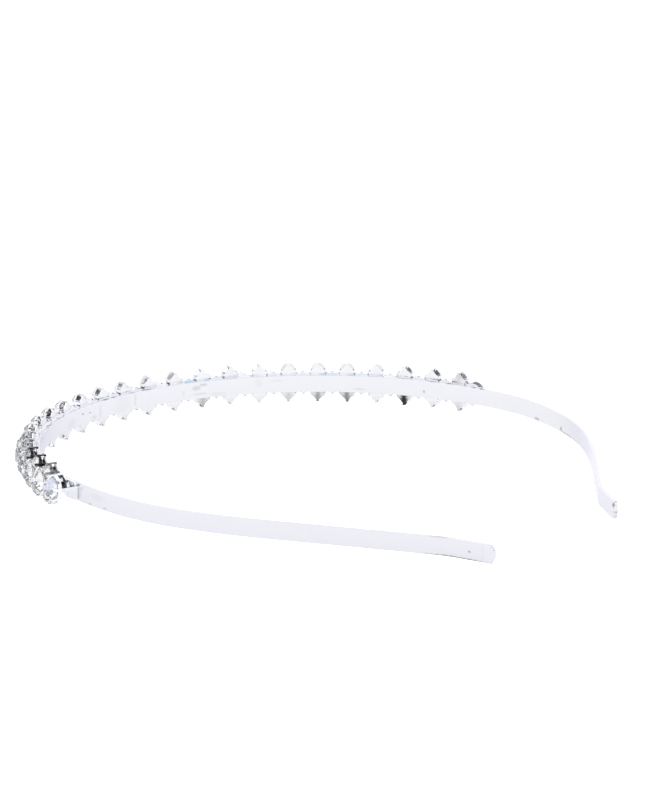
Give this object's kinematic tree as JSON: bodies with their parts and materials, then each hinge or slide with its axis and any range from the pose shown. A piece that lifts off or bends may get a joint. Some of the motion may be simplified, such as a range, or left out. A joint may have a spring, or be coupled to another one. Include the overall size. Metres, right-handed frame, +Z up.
{
  "type": "crystal headband",
  "caption": "Thin bent metal headband with a soldered trim of claw-set cut crystals round the crown, a round centre row between two smaller side rows, lying on its side.",
  "frame": {"origin": "middle of the outline in plan, on the surface that the headband lies on", "axes": "+Z up, across the width of the strip; +Y towards the crown, with the mouth between the tips facing -Y; +X towards the right arm"},
  "size_m": [0.1298, 0.15, 0.0092],
  "materials": {
    "silver_band": "polished silver-coloured plate on a steel strip, with faint smudges and darker edges at the tips",
    "silver_settings": "bright silver-coloured plate on stamped claw settings, slightly tarnished in the corners",
    "clear_crystal": "clear cut glass with a foiled back, sharp facets"
  },
  "bodies": {
    "root": {"band": "silver_band", "setting_trim": "silver_settings", "upper_side_crystals": "clear_crystal", "lower_side_crystals": "clear_crystal", "centre_crystal_01": "clear_crystal", "centre_crystal_02": "clear_crystal", "centre_crystal_03": "clear_crystal", "centre_crystal_04": "clear_crystal", "centre_crystal_05": "clear_crystal", "centre_crystal_06": "clear_crystal", "centre_crystal_07": "clear_crystal", "centre_crystal_08": "clear_crystal", "centre_crystal_09": "clear_crystal", "centre_crystal_10": "clear_crystal", "centre_crystal_11": "clear_crystal", "centre_crystal_12": "clear_crystal", "centre_crystal_13": "clear_crystal", "centre_crystal_14": "clear_crystal", "centre_crystal_15": "clear_crystal", "centre_crystal_16": "clear_crystal", "centre_crystal_17": "clear_crystal", "centre_crystal_18": "clear_crystal", "centre_crystal_19": "clear_crystal", "centre_crystal_20": "clear_crystal", "centre_crystal_21": "clear_crystal", "centre_crystal_22": "clear_crystal", "centre_crystal_23": "clear_crystal", "centre_crystal_24": "clear_crystal", "centre_crystal_25": "clear_crystal"}
  },
  "joints": []
}
